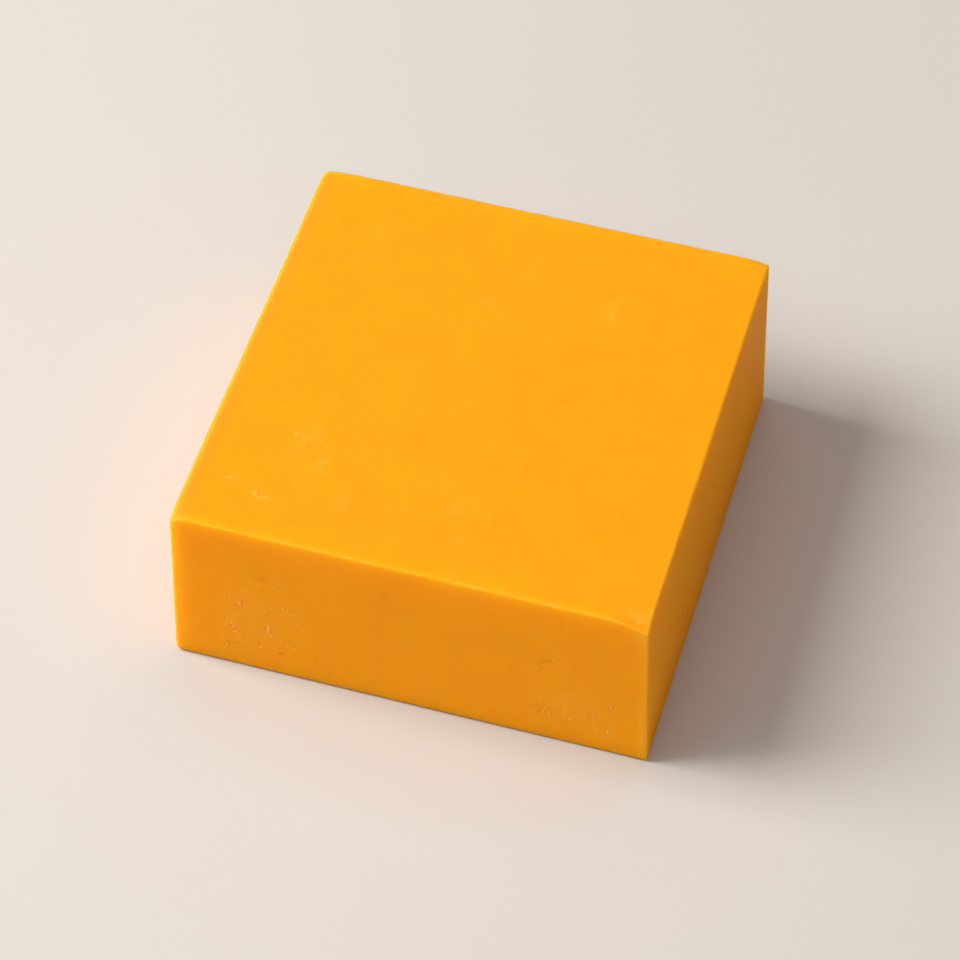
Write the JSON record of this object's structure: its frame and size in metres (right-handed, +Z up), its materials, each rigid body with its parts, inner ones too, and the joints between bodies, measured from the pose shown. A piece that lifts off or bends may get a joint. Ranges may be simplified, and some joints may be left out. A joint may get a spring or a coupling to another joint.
{
  "type": "cheddar block",
  "caption": "Low, nearly square block of orange cheddar cut from a larger pressed block, with soft edges and slightly leaning faces.",
  "frame": {"origin": "middle of the underside, on the surface that the block rests on", "axes": "+Z up, -Y out of the front face, +X out of the right face"},
  "size_m": [0.1028, 0.1044, 0.0442],
  "materials": {
    "cheddar": "satin"
  },
  "bodies": {
    "root": {"cheddar_block": "cheddar"}
  },
  "joints": []
}
